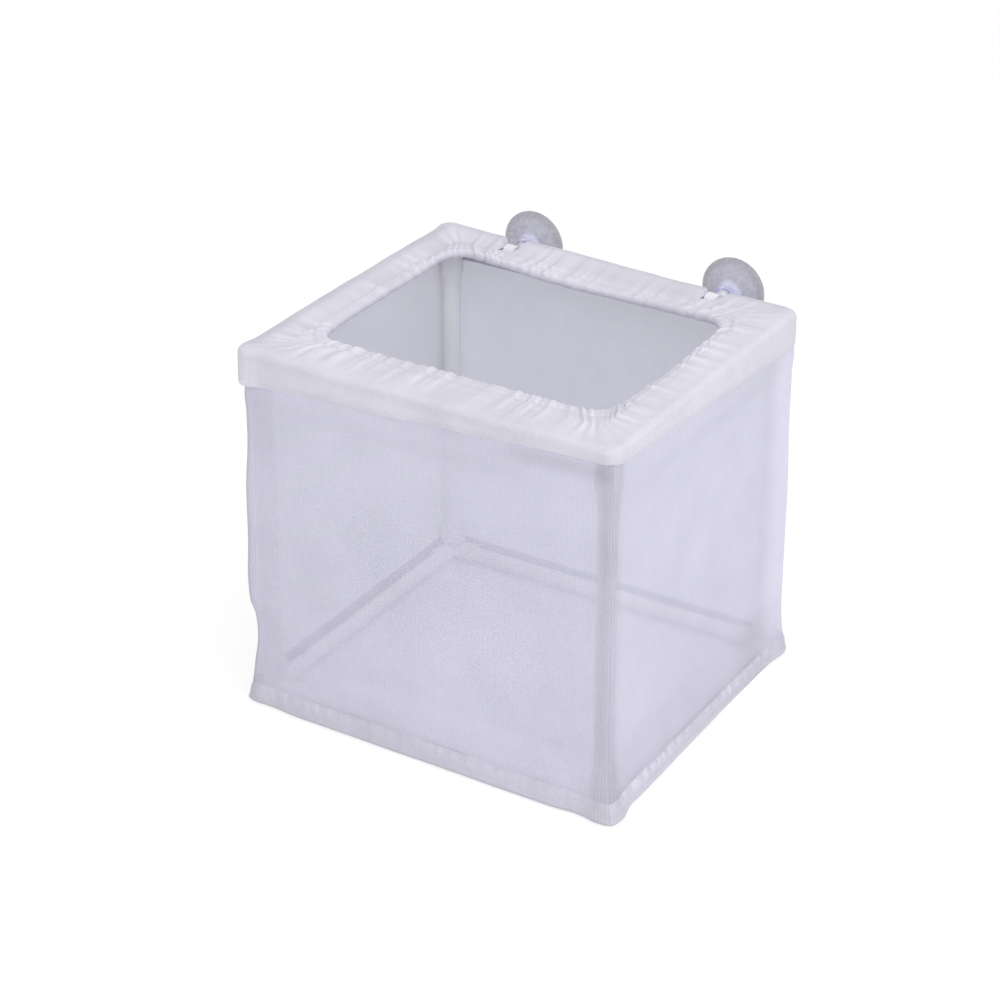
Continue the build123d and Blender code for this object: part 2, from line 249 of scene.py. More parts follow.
def grid_piece(name, columns, rows, place, closed=False, cut=None):
    """A sheet that starts as a flat grid. place(u, v) gives each point, its two cloth coordinates and the
    painted highlight and shade that it keeps in its gather attribute. A closed sheet is joined to itself at
    its ends, and cut(mesh) may then cut it."""
    mesh = bmesh.new()
    uv = mesh.loops.layers.uv.new("Cloth")
    gather = mesh.verts.layers.float.new("gather")
    bmesh.ops.create_grid(mesh, x_segments=columns, y_segments=rows, size=0.5)
    cloth = {}
    for vert in mesh.verts:
        point, run, rise, amount = place(vert.co.x + 0.5, vert.co.y + 0.5)
        vert.co = point
        vert[gather] = amount
        cloth[vert] = (run, rise)
    for face in mesh.faces:
        for loop in face.loops:
            loop[uv].uv = cloth[loop.vert]
    if closed:
        bmesh.ops.remove_doubles(mesh, verts=mesh.verts[:], dist=1e-6)
    if cut:
        cut(mesh)
    return new_piece(name, mesh)


def new_piece(name, mesh, smooth_faces=True):
    """A finished mesh as an object at the origin."""
    for face in mesh.faces:
        face.smooth = smooth_faces
    data = bpy.data.meshes.new(name)
    mesh.to_mesh(data)
    mesh.free()
    piece = bpy.data.objects.new(name, data)
    bpy.context.scene.collection.objects.link(piece)
    return piece


def dress(piece, material, slot, *nodes):
    """Give a piece its finish, attach it to the frame and hide the nodes that it stands for. The slot is
    not used.
    """
    piece.data.materials.append(material)
    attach(piece, "frame")
    if nodes:
        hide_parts(*nodes)
    return piece


def stitches(name, places, radius):
    """Sewing stitches: one slim drawn-out ball of thread for each (middle, direction, length)."""
    mesh = bmesh.new()
    for middle, direction, reach in places:
        turn = Vector((1, 0, 0)).rotation_difference(direction).to_matrix().to_4x4()
        stretch = Matrix.Diagonal((reach / 2, radius, radius, 1))
        bmesh.ops.create_icosphere(mesh, subdivisions=2, radius=1,
                                   matrix=Matrix.Translation(middle) @ turn @ stretch)
    return new_piece(name, mesh)


# Finishes


def feed(tree, node, links):
    """Link sockets, or the first sockets of nodes, to a node's inputs."""
    for key, source in links.items():
        socket = source.outputs[0] if isinstance(source, bpy.types.Node) else source
        tree.links.new(socket, node.inputs[key])


def add_node(tree, kind, settings=(), links=()):
    """Add a node. Settings and links name its inputs, or settings name its own options."""
    node = tree.nodes.new(f"ShaderNode{kind}")
    for key, value in dict(settings).items():
        if isinstance(key, int) or key in node.inputs:
            node.inputs[key].default_value = value
        else:
            setattr(node, key, value)
    feed(tree, node, dict(links))
    return node


def new_material(name, **sockets):
    """A material with one Principled shader, its constant values set on the shader's own sockets."""
    material = bpy.data.materials.new(name)
    material.use_nodes = True
    shader = material.node_tree.nodes["Principled BSDF"]
    for key, value in sockets.items():
        shader.inputs[key.replace("_", " ")].default_value = value
    return material, material.node_tree, shader


def tint(base, factor=1.0):
    """A colour made lighter or darker, with its alpha."""
    return [min(1.0, c * factor) for c in base] + [1.0]


# How cloth varies: detail and roughness of its patches, how much a patch and the painted highlight and
# shade that each piece puts in its gather attribute change its tone, its darkest and lightest tones, and
# the tone that it has without them
PLAIN = (3, 0.5, 0.2, 1.0, 0.72, 1.14, 0.55)
GATHERED = (4.5, 0.8, 0.4, 0.8, 0.82, 1.08, 0.05)


def woven_cloth(name, base, pitch, solid, sheer, look=PLAIN):
    """Fine nylon mesh, woven from clear-white thread: soft, slightly glossy and see-through between its
    threads. Its real pitch is about half a millimetre, drawn coarser here so that it shows. solid is how
    opaque a thread is, and sheer how opaque a hole is."""
    material, tree, shader = new_material(name, Roughness=0.62, Sheen_Weight=0.12, Sheen_Roughness=0.4,
                                          Specular_IOR_Level=0.35, IOR=1.53)
    detail, grain, patchy, painted_light_gain, dark, light, steady = look
    cloth = add_node(tree, "UVMap", {"uv_map": "Cloth"})
    scaled = add_node(tree, "Mapping", {"Scale": (1 / pitch, 1 / pitch, 1)}, {0: cloth})
    parts = add_node(tree, "SeparateXYZ", links={0: scaled})
    threads = []
    for axis in (0, 1):
        across = add_node(tree, "Math", {"operation": "PINGPONG", 1: 0.5}, {0: parts.outputs[axis]})
        threads.append(add_node(tree, "MapRange", {"interpolation_type": "SMOOTHSTEP", "From Min": 0.10,
                                                   "From Max": 0.34, "To Min": 1.0, "To Max": 0.0},
                                {0: across}))
    thread = add_node(tree, "Math", {"operation": "MAXIMUM"}, {0: threads[0], 1: threads[1]})
    # Uneven shrinkage and stretch of the cloth, in patches 30 mm across and finer
    place = add_node(tree, "TexCoord").outputs["Object"]
    broad = add_node(tree, "TexNoise", {"Scale": 33, "Detail": detail, "Roughness": grain}, {0: place})
    patch = add_node(tree, "MapRange", {"From Min": 0.3, "From Max": 0.7, "To Max": patchy}, {0: broad})
    # Painted highlight on the ridges of gathers and puckers, painted shade in their valleys, and the
    # painted shade and light of each wall, all read from the gather attribute
    fold = add_node(tree, "Attribute", {"attribute_name": "gather"}).outputs["Fac"]
    tone = add_node(tree, "Math", {"operation": "MULTIPLY_ADD", 1: painted_light_gain}, {0: fold, 2: patch})
    eased = add_node(tree, "Math", {"operation": "ADD", 1: steady}, {0: tone})
    mixed = add_node(tree, "Mix", {"data_type": "RGBA", 6: tint(base, dark), 7: tint(base, light)},
                     {0: eased})
    hole = add_node(tree, "MapRange", {"From Min": 0.25, "From Max": 0.75, "To Min": sheer - 0.02,
                                       "To Max": sheer + 0.02}, {0: broad})
    alpha = add_node(tree, "Mix", {"data_type": "FLOAT", 3: solid}, {0: thread, 2: hole})
    bump = add_node(tree, "Bump", {"Strength": 0.35, "Distance": 0.15 * MM}, {"Height": thread})
    feed(tree, shader, {"Base Color": mixed.outputs[2], "Alpha": alpha, "Normal": bump})
    return material


def moulded(name, base, roughness, grain, stretch=(1, 1, 1)):
    """Moulded or extruded polypropylene: milky white and waxy, with a faint flow texture of the given
    size in millimetres and slightly duller patches."""
    material, tree, shader = new_material(name, Specular_IOR_Level=0.5, IOR=1.49)
    place = add_node(tree, "TexCoord").outputs["Object"]
    scaled = add_node(tree, "Mapping", {"Scale": stretch}, {0: place})
    flow = add_node(tree, "TexNoise", {"Scale": 1 / (grain * MM), "Detail": 4}, {0: scaled})
    patches = add_node(tree, "TexNoise", {"Scale": 90, "Detail": 2}, {0: place})
    mixed = add_node(tree, "Mix", {"data_type": "RGBA", 6: tint(base, 0.94), 7: tint(base, 1.03)},
                     {0: patches})
    dull = add_node(tree, "MapRange", {"To Min": roughness - 0.08, "To Max": roughness + 0.08},
                    {0: patches})
    bump = add_node(tree, "Bump", {"Strength": 0.2, "Distance": 0.06 * MM}, {"Height": flow})
    feed(tree, shader, {"Base Color": mixed.outputs[2], "Roughness": dull, "Normal": bump})
    return material


def spun_fibre(name, base, uv_map, scale, distortion, shade, depth, roughness):
    """Polyester fibre, matt and white, with a fine twist or rib across it, and painted shade in its
    furrows, darker there by the factor shade."""
    material, tree, shader = new_material(name, Roughness=roughness, Sheen_Weight=0.2)
    if uv_map:
        place = add_node(tree, "UVMap", {"uv_map": uv_map})
    else:
        place = add_node(tree, "TexCoord").outputs["Object"]
    rib = add_node(tree, "TexWave", {"Scale": scale, "Distortion": distortion}, {0: place}).outputs["Fac"]
    mixed = add_node(tree, "Mix", {"data_type": "RGBA", 6: tint(base, shade), 7: tint(base)}, {0: rib})
    bump = add_node(tree, "Bump", {"Strength": 5 * depth / MM, "Distance": depth}, {"Height": rib})
    feed(tree, shader, {"Base Color": mixed.outputs[2], "Normal": bump})
    return material


def clear_vinyl(base):
    """Clear soft PVC, injection moulded: glossy, and greyer at its rim, where more of it lies in line. The
    white stem shows through the neck. Flow marks and dust mottle it, two millimetres across."""
    material, tree, shader = new_material("clear_soft_pvc", Roughness=0.22, IOR=1.53,
                                          Specular_IOR_Level=0.5, Coat_Weight=0.2, Coat_Roughness=0.1)
    place = add_node(tree, "TexCoord").outputs["Object"]
    mottle = add_node(tree, "TexNoise", {"Scale": 1 / (2.0 * MM), "Detail": 3, "Roughness": 0.6},
                      {0: place})
    # Distance from the axis of the nearer cup, which mirror each other in X
    parts = add_node(tree, "SeparateXYZ", links={0: place})
    side = add_node(tree, "Math", {"operation": "ABSOLUTE"}, {0: parts})
    level = add_node(tree, "CombineXYZ", links={0: side, 1: parts.outputs[2]})
    reach = add_node(tree, "VectorMath", {"operation": "DISTANCE", 1: (CLIPS[1], BACK_ROD.z, 0)},
                     {0: level})
    rim = add_node(tree, "MapRange", {"interpolation_type": "SMOOTHSTEP", "From Min": 10.6 * MM,
                                      "From Max": 12.6 * MM}, {0: reach.outputs["Value"]})
    stem = add_node(tree, "MapRange", {"interpolation_type": "SMOOTHSTEP", "From Min": 4.4 * MM,
                                       "From Max": 6.4 * MM, "To Min": 1.0, "To Max": 0.0},
                    {0: reach.outputs["Value"]})
    sharp = add_node(tree, "MapRange", {"From Min": 0.3, "From Max": 0.7}, {0: mottle})
    grey = add_node(tree, "Mix", {"data_type": "RGBA", 6: tint(base, 0.82), 7: tint(base, 1.18)},
                    {0: sharp})
    edge = add_node(tree, "Mix", {"data_type": "RGBA", 7: tint(base, 0.62)}, {0: rim, 6: grey.outputs[2]})
    shown = add_node(tree, "Mix", {"data_type": "RGBA", 7: tint(base, 2.0)}, {0: stem, 6: edge.outputs[2]})
    alpha = add_node(tree, "MapRange", {"From Min": 0.3, "From Max": 0.7, "To Min": 0.56, "To Max": 0.44},
                     {0: mottle})
    bump = add_node(tree, "Bump", {"Strength": 0.35, "Distance": 0.1 * MM}, {"Height": mottle})
    feed(tree, shader, {"Base Color": shown.outputs[2], "Alpha": alpha, "Normal": bump})
    return material


# Pieces

# In millimetres, at the front left, front right, back right and back left corners. Each side of the bag
# runs from one of these to the next.
LIPS = (15.0, 6.0, 16.0, 15.0)  # height of the collar's lip
EARS = (2.4, 0.6, 0.3, 1.0)  # how far the collar stands out
CORNER_FLARES = (1.6, 4.2, 0.8, 1.6)  # how far the sewn bottom corner stands out besides its sides
# How much further each side's bottom edge stands out towards its first and its last end, in millimetres
SPREADS = {"front": (2.0, 2.6), "right": (1.2, -2.2), "back": (0.0, 0.0), "left": (0.6, 1.4)}
# How strongly, and how widely in millimetres, painted shade greys the collar's outer fold over the rod
PAINTED_FOLD_SHADES = {"front": (0.0, 1), "right": (0.0, 1), "back": (0.45, 1.3), "left": (0.65, 2.2)}
# Painted shade on each wall, and painted light below 0: darker at most corners, where the seams and posts
# stand in shade, and along the foot of the front and right walls, where the collar's shadow falls inside;
# lighter over a white post, along the right wall's far end and at the feet of the back and left walls. At
# its first end, over how many millimetres, at its last end, over how many, at its foot, up to how many, and
# all over
PAINTED_SHADES = {
    "front": (0.6, 1.6, 0.34, 8, 0.08, 36, 0.0),
    "right": (0.3, 9, -0.5, 26, 0.3, 36, 0.0),
    "back": (-0.15, 12, 0.3, 5, -0.5, 17, 0.1),
    "left": (0.2, 5, 0.8, 4, -0.5, 17, 0.52),
}


def side_ends(corners, side):
    """A table's values at a side's first and last corner, in metres."""
    first = SIDES.index(side)
    return corners[first] * MM, corners[(first + 1) % 4] * MM


def lip_height(side, share):
    """Height of the collar's lip along a side, with the waver of a hand-drawn edge."""
    start, end = side_ends(LIPS, side)
    wave = 0.9 * MM * waver(share * 5.3, SIDES.index(side) * 3.1, 0.4)
    return start + (end - start) * share + wave * ease(share, 0, 0.06) * ease(share, 1, 0.94)


def crown(sizes, side, share):
    """How far the collar stands up over its rod: all along the left side, and near it front and back."""
    if side == "back":
        return sizes.crown * ease(share, 0.3, 0.7)
    if side == "left":
        return sizes.crown * (1 - 0.25 * ease(share, 0.5, 1))
    if side == "front":
        return 0.75 * sizes.crown * ease(share, 0.3, 0)
    return 0.0


def hem_rise(side, share):
    """1 where the hem is lifted most, at the opening's back left corner, and 0 where it lies flat."""
    if side == "back":
        return ease(share, 0.5, 0.9)
    if side == "left":
        return ease(share, 0.45, 0)
    return 0.0


def fold_inset(depth, radius):
    """How far the collar's rounded fold lies in from the bag's outside at a depth below the top."""
    rise = min(max(radius - depth, 0.0), radius)
    return radius - math.sqrt(radius**2 - rise**2)


def corner_pull(side, share, height):
    """How far the net draws in beside the corners: the front left one is tight low down and loose above."""
    closeness = ease(abs(share), 0.7, 1)
    if (side == "front" and share < 0) or (side == "left" and share > 0):
        tight = math.exp(-((height - 33 * MM) / (9 * MM)) ** 2)
        loose = math.exp(-((height - 57 * MM) / (13 * MM)) ** 2)
        high = ramp(height, 85, 130)
        billow = ramp(height, 40, 48) * ramp(height, 122, 96)
        return (0.9 * tight - 0.9 * loose + 0.5 * high - 1.2 * billow) * MM * closeness
    return (0.9 * ramp(height, 75, 110) - 0.3) * MM * closeness


def seam_ridge(sizes, run, span, height):
    """How far the upright seam at a corner stands out of its rounded corner."""
    closeness = max(1 - (span - abs(run)) / (4.6 * MM), 0) ** 1.5
    return sizes.seam_ridge * closeness * ramp(height, 150, 136)


def bottom_flare(sizes, side, run, span, height):
    """How far the bag spreads towards its bottom seam, most at the sewn corners."""
    corner = max(1 - (span - abs(run)) / (14 * MM), 0) ** 1.5
    skirt = max(1 - height / (24 * MM), 0) ** 1.6
    start, end = SPREADS[side]
    spread = start + (end - start) * (run + span) / (2 * span)
    skirt *= sizes.hem_flare + spread * MM * ramp(span - abs(run), 0, 24)
    ear = side_ends(CORNER_FLARES, side)[run > 0]
    return skirt + ear * corner * max(1 - height / (26 * MM), 0) ** 1.2


def painted_wall_shade(side, run, span, height, top):
    """How much painted shade darkens a wall at a point, or below 0 how much painted light lightens it."""
    first, first_width, last, last_width, foot, foot_top, even = PAINTED_SHADES[side]
    shade = even + first * ramp(span + run, first_width, 0)
    shade += last * ramp(span - run, last_width, 0)
    strip = ramp(height, 7.5, 10) * ramp(height, foot_top, 0.55 * foot_top)
    shade += foot * strip * (0.8 + 0.8 * waver(run * 55, 3, 4))
    if side == "back":
        # Painted shade: greyer towards the collar, in its shadow, and paler low down
        shade += 0.4 * ramp(height, 90, 140) - 0.25
    if side == "front":
        # Painted shade below the lip where it narrows to the near corner, for the rod and its connector
        # seen dark through the net
        below = (height - top + 6.5 * MM) / (4 * MM)
        shade += 0.5 * math.exp(-below**2) * ramp(span - run, 55, 33)
    return shade


class BREEDINGNET_OT_bag_walls(bpy.types.Operator):
    """Sew the four mesh walls of the bag, drawn tight over the frame"""

    bl_idname = "breedingnet.bag_walls"
    bl_label = "Bag walls"

    def execute(self, context):
        sizes, finishes = context.scene.bag_sizes, context.scene.finishes
        lit = woven_cloth("nylon_net", finishes.net, sizes.mesh_pitch, 0.78, 0.60)
        shaded = woven_cloth("nylon_net_shaded", finishes.shaded_net, sizes.mesh_pitch, 0.78, 0.60)
        half = Vector((BAG.x - sizes.wall_inset, BAG.y - sizes.wall_inset, 0))
        radius = sizes.corner_radius - sizes.wall_inset
        fold = context.scene.collar_sizes.fold_radius
        foot = 0.5 * MM
        for side in SIDES:
            span = half_span(side, half, radius)

            def place(u, v):
                # The wall ends behind the lip, a little above its edge
                top = min(BAG.z - 3.5 * MM, BAG.z - lip_height(side, u) + 2.5 * MM)
                run, height = (2 * u - 1) * span, foot + v * (top - foot)
                point = side_point(side, half, radius, run)
                middle = 1 - (run / span) ** 2
                waist = ramp(height, 17, 26) * ramp(height, 142, 132)
                pull = waist * (sizes.draw_in + sizes.slack * middle)
                pull += middle * 0.5 * MM * waver(run * 40, height * 18, SIDES.index(side) * 5)
                pull += fold_inset(BAG.z - height, fold) + waist * corner_pull(side, run / span, height)
                pull -= bottom_flare(sizes, side, run, span, height) + seam_ridge(sizes, run, span, height)
                point -= outward(side, half, radius, run) * pull
                point.z = height
                return point, run, height, -painted_wall_shade(side, run, span, height, top)

            wall = grid_piece(f"bag_wall_{side}", 120, 110, place)
            # The back and left walls take the shaded copy, painted cooler as in shade
            dress(wall, lit if side in ("front", "right") else shaded, "net_mesh", f"net_wall_{side}")
        return {"FINISHED"}


class BREEDINGNET_OT_bag_floor(bpy.types.Operator):
    """Lay the flat mesh floor of the bag"""

    bl_idname = "breedingnet.bag_floor"
    bl_label = "Bag floor"

    def execute(self, context):
        sizes, finishes = context.scene.bag_sizes, context.scene.finishes
        cloth = woven_cloth("nylon_net_floor", finishes.net, sizes.mesh_pitch, 0.84, 0.70)
        # The floor ends inside the binding
        spread = sizes.hem_flare - 1.4 * MM
        half = Vector((BAG.x + spread, BAG.y + spread, 0))

        def place(u, v):
            x, y = (2 * u - 1) * half.x, (2 * v - 1) * half.y
            edge = ease(abs(2 * u - 1), 1, 0.88) * ease(abs(2 * v - 1), 1, 0.88)
            lift = 0.6 * MM * edge * (0.5 + waver(x * 30, y * 30, 9))
            # The floor's tone is lifted by 0.22 all over, painted light inside the bag
            return Vector((x, y, 0.3 * MM + max(lift, 0))), x, y, 0.22

        floor = dress(grid_piece("bag_floor", 84, 74, place), cloth, "net_mesh", "net_floor")
        return {"FINISHED"}


class BREEDINGNET_OT_post_sleeves(bpy.types.Operator):
    """Draw a loose sleeve of mesh over each post"""

    bl_idname = "breedingnet.post_sleeves"
    bl_label = "Post sleeves"

    def execute(self, context):
        sizes, finishes = context.scene.bag_sizes, context.scene.finishes
        front = woven_cloth("nylon_net_sleeve", finishes.sleeve, sizes.mesh_pitch, 0.68, 0.54)
        back = woven_cloth("nylon_net_doubled_sleeve", finishes.shaded_sleeve, sizes.mesh_pitch, 0.98, 0.96)
        # How far each sleeve laps over its connectors, and its radius there
        lap, wide = 7.5 * MM, 4.7 * MM
        for number, (x_sign, y_sign) in enumerate(((-1, -1), (1, -1), (-1, 1), (1, 1))):
            name = f"{'front' if y_sign < 0 else 'back'}_{'left' if x_sign < 0 else 'right'}"
            # Painted light: the back sleeves' tone is lifted by 0.3, and their cloth is the cooler shaded
            # copy
            cloth, lift = (front, 0.0) if y_sign < 0 else (back, 0.3)
            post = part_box(f"post_{name}")
            axis = (post[0] + post[1]) / 2
            snug = (post[1].x - post[0].x) / 2 + 0.15 * MM
            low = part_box(f"connector_bottom_{name}")[1].z
            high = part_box(f"connector_top_{name}")[0].z

            def place(u, v):
                # Open by 20 degrees at the bag's corner
                angle = math.radians(45 + 340 * (u - 0.5))
                height = low - lap + v * (high - low + 2 * lap)
                # Stretched over the connectors at both ends
                clear = min(height - low, high - height)
                loose = snug + (wide - snug) * ramp(clear, 5, 0)
                # Snug against the two walls and loose towards the inside of the bag
                slack = sizes.sleeve_slack * (0.8 + 0.6 * waver(number * 7, height * 25, 1))
                inward = [math.cos(angle), math.sin(angle)]
                reach = [part * (loose + (slack if part > 0 else 0)) for part in inward]
                point = Vector((axis.x - x_sign * reach[0], axis.y - y_sign * reach[1], height))
                return point, angle * snug, height, lift

            sleeve = dress(grid_piece(f"post_sleeve_{name}", 28, 60, place), cloth, "net_mesh")
        return {"FINISHED"}


class BREEDINGNET_OT_binding(bpy.types.Operator):
    """Sew the binding round the bottom edge"""

    bl_idname = "breedingnet.binding"
    bl_label = "Bottom binding"

    def execute(self, context):
        sizes, finishes = context.scene.bag_sizes, context.scene.finishes
        tape = woven_cloth("nylon_binding_tape", finishes.binding, 0.8 * MM, 0.88, 0.74, GATHERED)
        radius = sizes.corner_radius
        spans = [half_span(side, BAG, radius) for side in SIDES]
        total = 2 * sum(spans)
        # The share of the tape's height that is turned under besides, and where that part ends
        under, turned_rise = 0.25, 1.12 * MM
        pucker_pitch = 6.4 * MM

        def place(u, v):
            side, run, span = along_sides(u, spans)
            point = side_point(side, BAG, radius, run)
            out = outward(side, BAG, radius, run)
            pucker = ripple(u, total, point, pucker_pitch, 4.0)
            # Up the outside from the turned-under edge to the folded top edge
            path = v * (1 + under)
            if path < under:
                turn = path / under
                rise = 0.12 * MM + MM * turn**2
                reach, bulge = -3.2 * MM * (1 - turn), 0.35 * MM * turn
            else:
                up = path - under
                rise = turned_rise + (sizes.binding_height - turned_rise) * up
                reach, bulge = 0.0, 0.35 * MM * ease(up, 0.3, 0)
            bulge += bottom_flare(sizes, side, run, span, rise) + seam_ridge(sizes, run, span, rise)
            settle = 0.42 * MM * ease(path, 0.9, 1.2)
            lively = 1.0 if side in ("right", "left") else 0.35
            ridge = (0.25 + 0.35 * lively) * MM * pucker * ease(path, 0, 1) * ease(path, 1.3, 0.9)
            point += out * (reach + bulge - settle + ridge)
            point.z = rise
            # Painted highlight on the puckers along the top edge, painted shade in a channel under them,
            # along the front and on the turned-under lower edge outside; darker near the corners too
            outside = ease(path, 0.12, 0.24)
            tone = 0.42 + 0.9 * lively * (pucker - 0.4) * ramp(rise, 4, 6.5)
            tone -= 0.35 * lively * math.exp(-((rise - 3.6 * MM) / MM) ** 2)
            tone -= 0.4 * ramp(span - abs(run), 8, 0)
            if side == "front":
                tone -= 0.22 + 0.35 * ramp(rise, 4.4, 1.8) * outside
            tone -= 0.6 * ramp(rise, 1.7, 0.9) * outside
            return point, u * total, rise, tone

        binding = grid_piece("bottom_binding", 900, 16, place, closed=True)
        dress(binding, tape, "hem_binding", "hem_front", "hem_back", "hem_left", "hem_right")
        # Spun polyester sewing thread, twisted every third of a millimetre
        thread = spun_fibre("spun_polyester_thread", finishes.thread, "", 900, 2.0, 0.9, 0.08 * MM, 0.7)
        places = []
        count = round(total / sizes.stitch_pitch)
        for index in range(count):
            turn = (index + 0.5 + 0.22 * waver(index * 1.7, 0.3, 0)) / count
            # The stitches run high up on the tape, at 0.86 of its rows
            before, after = (place(min(max(turn + step, 0), 1), 0.86)[0] for step in (-0.003, 0.003))
            side, run, span = along_sides(turn, spans)
            middle = (before + after) / 2 + outward(side, BAG, radius, run) * 0.2 * MM
            reach = sizes.stitch_pitch * (0.30 + 0.22 * waver(index * 2.1, 5, 1))
            places.append((middle, (after - before).normalized(), reach))
        sewn = stitches("binding_stitches", places, sizes.thread_radius)
        dress(sewn, thread, "hem_binding")
        return {"FINISHED"}


class BREEDINGNET_OT_collar(bpy.types.Operator):
    """Gather the collar over the top rods and round the elastic"""

    bl_idname = "breedingnet.collar"
    bl_label = "Gathered collar"

    def execute(self, context):
        scene = context.scene
        sizes, finishes, radius = scene.collar_sizes, scene.finishes, scene.bag_sizes.corner_radius
        cloth = woven_cloth("nylon_net_gathered", finishes.collar, 0.9 * MM, 0.97, 0.88, GATHERED)
        # The shelf is the line from which the cloth runs out to the fold and in to the mouth
        shelf_depth, shelf_radius = 14.4 * MM, 6 * MM
        shelf = Vector((BAG.x - shelf_depth, BAG.y - shelf_depth, 0))
        # The mouth is measured inside the hem, and its outline here runs along the hem's middle
        mouth = Vector((sizes.mouth_length / 2, sizes.mouth_width / 2, 0))
        mouth += Vector((sizes.hem_radius, sizes.hem_radius, 0))
        mouth_radius = sizes.mouth_corner + sizes.hem_radius
        hem_z = BAG.z - 0.15 * MM - sizes.hem_radius
        spans = [half_span(side, BAG, radius) for side in SIDES]
        total = 2 * sum(spans)
        fold = sizes.fold_radius
        flat = shelf_depth - fold
        folded = flat + fold * math.pi / 2

        # The drawn-down fold at a clip: tangents from both ends to a circle round the back rod
        rod_fold, drawn_depth = 4.05 * MM, 11.5 * MM
        start = Vector((BAG.y - shelf_depth, BAG.z))
        end = Vector((BAG.y, BAG.z - drawn_depth))
        centre = Vector((BACK_ROD.y, BACK_ROD.z))

        def touch_angle(point, turn):
            away = point - centre
            return math.atan2(away.y, away.x) + turn * math.acos(rod_fold / away.length)

        def on_rod(angle):
            return centre + rod_fold * Vector((math.cos(angle), math.sin(angle)))

        first, last = touch_angle(start, -1), touch_angle(end, 1)
        lengths = [(on_rod(first) - start).length, rod_fold * (first - last), (end - on_rod(last)).length]
        plain_length = folded + drawn_depth - fold

        def drawn(share):
            """A point of the drawn-down fold, as (inset, height)."""
            way = share * sum(lengths)
            if way <= lengths[0]:
                at = start.lerp(on_rod(first), way / lengths[0])
            elif way <= lengths[0] + lengths[1]:
                at = on_rod(first - (way - lengths[0]) / rod_fold)
            else:
                at = on_rod(last).lerp(end, (way - lengths[0] - lengths[1]) / lengths[2])
            return BAG.y - at.x, at.y

        def plain(way):
            """A point of the plain fold at a distance out from the shelf line, as (inset, height)."""
            if way <= flat:
                return shelf_depth - way, BAG.z
            if way <= folded:
                angle = (way - flat) / fold
                return fold * (1 - math.sin(angle)), BAG.z - fold * (1 - math.cos(angle))
            return 0.0, BAG.z - fold - (way - folded)

        def rim_point(side, run, span):
            """The middle of the hem beside a run of the bag's side, and the way into the mouth there."""
            run = matched_run(run, span, half_span(side, mouth, mouth_radius), 26 * MM)
            rim = side_point(side, mouth, mouth_radius, run, sizes.mouth_bow)
            beyond = side_point(side, mouth * 1.2, mouth_radius * 1.2, run * 1.2)
            return rim, (rim - beyond).normalized()

        # The collar's rows: the lip and its fold, then the top, then the hem. The cloth's own measure
        # across them is 60 mm at the shelf.
        lip_rows, top_rows = 0.42, 0.72

        def place(u, v):
            side, run, span = along_sides(u, spans)
            around, along = u * total, (run + span) / (2 * span)
            edge = side_point(side, BAG, radius, run)
            shelf_run = matched_run(run, span, half_span(side, shelf, shelf_radius), span - 27 * MM)
            inner = side_point(side, shelf, shelf_radius, shelf_run)
            rim, inward = rim_point(side, run, span)
            gather = ripple(u, total, edge, sizes.gather_pitch, 1.0)
            # The pleats crowd together at the opening's corners, so they are lower there
            to_corner = span - abs(run)
            pleat = sizes.gather_height * (1 - 0.6 * ramp(to_corner, 24, 10))
            raised = sizes.corner_rise * hem_rise(side, along)
            if v < lip_rows:
                share = v / lip_rows
                reach = folded + lip_height(side, along) - fold
                way = reach * (1 - share)
                inset, height = plain(way)
                pull = 0.0
                if side == "back":
                    # Drawn down to 3.2 mm on both sides of a clip, and easing over 2.6 mm more
                    pull = max(ramp(abs(edge.x - clip), 5.8, 3.2) for clip in CLIPS)
                if pull and way < plain_length:
                    low_inset, low = drawn(way / plain_length)
                    inset += (low_inset - inset) * pull
                    height += (low - height) * pull
                low_share = ramp(way - folded, 0, 8)
                # The lip's edge is tucked in, and the cloth stands out at the bag's corners
                tuck = 0.45 * MM * ramp(share * reach, 1.6, 0)
                ear = side_ends(EARS, side)[run > 0] * ramp(to_corner, 9, 0)
                flare = 0.2 * MM * low_share + ear * ramp(inset, 8, 0)
                wrinkle = noise.noise(edge * 60 + Vector((0, 0, way * 25 + 2.5)))
                out = (edge - inner).normalized()
                point = edge.lerp(inner, inset / shelf_depth)
                point += out * (flare - tuck + 0.35 * MM * wrinkle * low_share)
                fade = ramp(way, 14, 0) * (1 - pull)
                stand = ramp(flat - way, 11, 0) * ramp(way - folded, 9, 0)
                rise = 0.5 * pleat * gather * fade + crown(sizes, side, along) * stand * (1 - pull)
                point.z = height + rise + 0.45 * MM * wrinkle * (1 - low_share) * (1 - pull)
                # Painted highlight and shade on the pleats and wrinkles, and a painted shade line along the
                # fold over the rod
                line, width = PAINTED_FOLD_SHADES[side]
                tone = 0.42 + 0.25 * wrinkle + (gather - 0.4) * fade
                tone -= line * math.exp(-((way - flat + 0.8 * MM) / (width * MM)) ** 2)
                return point, around, 0.06 - way, tone
            if v < top_rows:
                share = (v - lip_rows) / (top_rows - lip_rows)
                target = rim + (inner - rim).normalized() * sizes.hem_radius * 0.2
                point = inner.lerp(target, share)
                gap = (point - rim).length
                near = ease(gap, sizes.gather_reach, 0)
                rise = pleat * gather * (0.5 + 0.5 * near)
                rise += 0.45 * MM * noise.noise(edge * 60 + Vector((0, 0, 2.5 - share * 0.35)))
                # The seam beside the hem draws the cloth down
                dip = 1.2 * MM * math.exp(-((gap - 4.2 * MM) / (1.1 * MM)) ** 2) * (0.4 + 0.6 * gather)
                level = BAG.z + (hem_z + sizes.hem_radius - BAG.z) * share
                point.z = level + rise - dip - 0.4 * MM * ease(share, 0, 1) + raised * share
                # Painted highlight on the pleats, strongest beside the hem
                return point, around, 0.06 + share * 0.02, 0.25 + 0.65 * gather * (0.4 + 0.6 * near)
